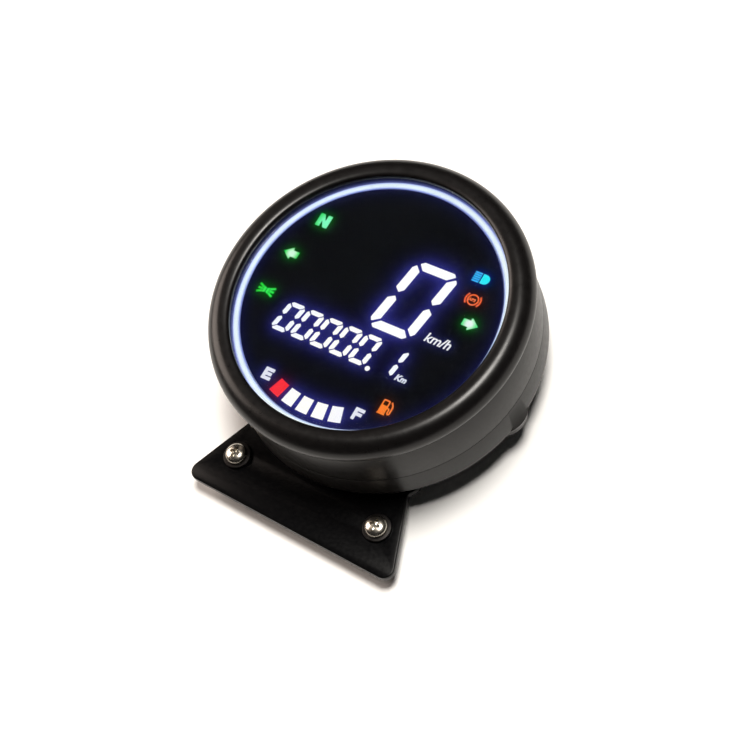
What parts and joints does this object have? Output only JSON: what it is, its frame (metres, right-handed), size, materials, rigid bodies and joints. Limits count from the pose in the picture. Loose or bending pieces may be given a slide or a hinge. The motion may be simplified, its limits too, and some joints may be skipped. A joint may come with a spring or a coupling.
{
  "type": "motorcycle instrument cluster",
  "caption": "Round digital instrument cluster with a rounded bezel, lit dial, drum housing, rear mode button, wiring socket and a flat bracket plate.",
  "frame": {"origin": "where the dial's axis meets the back face of the bracket plate", "axes": "+Z out of the dial towards the rider, +Y towards 12 o'clock, +X towards 3 o'clock"},
  "size_m": [0.1054, 0.1219, 0.047],
  "materials": {
    "bezel_satin_black": "satin black paint with soft grey highlights",
    "housing_satin_grey": "satin charcoal grey paint",
    "black_plastic": "fine moulded texture",
    "black_rubber": "matt black rubber",
    "clear_lens": "clear polished window",
    "light_guide": "milky light guide, lit bluish white",
    "dial_mask": "smoked near-black film with lit segments and symbols",
    "white_plastic": "plain moulded white",
    "circuit_board": "green solder resist",
    "chip_black": "moulded epoxy",
    "bright_steel": "bright zinc plated",
    "dark_steel": "black oxide",
    "contact_metal": "gold flashed contacts",
    "bracket_black": "black powder coat"
  },
  "bodies": {
    "gauge": {"bezel_ring": "bezel_satin_black", "board_header": "white_plastic", "board_screw_1": "bright_steel", "board_screw_2": "bright_steel", "board_screw_3": "bright_steel", "bracket_nut_left": "bright_steel", "bracket_nut_right": "bright_steel", "bracket_plate": "bracket_black", "bracket_screw_left": "bright_steel", "bracket_screw_right": "bright_steel", "bracket_washer_left": "dark_steel", "bracket_washer_right": "dark_steel", "breather_vent": "black_plastic", "button_seal": "black_rubber", "capacitor_1": "chip_black", "capacitor_2": "chip_black", "connector_pin_1": "contact_metal", "connector_pin_2": "contact_metal", "connector_pin_3": "contact_metal", "connector_pin_4": "contact_metal", "connector_pin_5": "contact_metal", "connector_pin_6": "contact_metal", "connector_socket": "black_plastic", "cover_screw_1": "bright_steel", "cover_screw_2": "bright_steel", "cover_screw_3": "bright_steel", "cover_screw_4": "bright_steel", "dial_mask": "dial_mask", "display_carrier": "white_plastic", "display_panel": "black_plastic", "front_housing": "housing_satin_grey", "front_lens": "clear_lens", "housing_gasket": "black_rubber", "inner_trim_ring": "black_plastic", "lens_gasket": "black_rubber", "light_guide_ring": "light_guide", "main_circuit_board": "circuit_board", "mode_switch": "chip_black", "mounting_stud_left": "bright_steel", "mounting_stud_right": "bright_steel", "processor_chip": "chip_black", "rear_cover": "housing_satin_grey", "ring_led_1": "light_guide", "ring_led_2": "light_guide", "ring_led_3": "light_guide", "ring_led_4": "light_guide", "ring_led_5": "light_guide", "ring_led_6": "light_guide", "rubber_washer_left": "black_rubber", "rubber_washer_right": "black_rubber", "stud_nut_left": "bright_steel", "stud_nut_right": "bright_steel", "stud_washer_left": "bright_steel", "stud_washer_right": "bright_steel", "voltage_regulator": "chip_black"},
    "button": {"mode_button": "black_rubber", "button_clip": "bright_steel", "button_spring": "bright_steel"}
  },
  "joints": [
    {"name": "mode_button_press", "type": "slide", "parent": "gauge", "child": "button", "axis": [0, 0, 1], "range_m": [0, 0.0008], "stiffness_N_per_m": 2500, "springref_m": -0.0008, "deforming": ["button_spring"]}
  ]
}
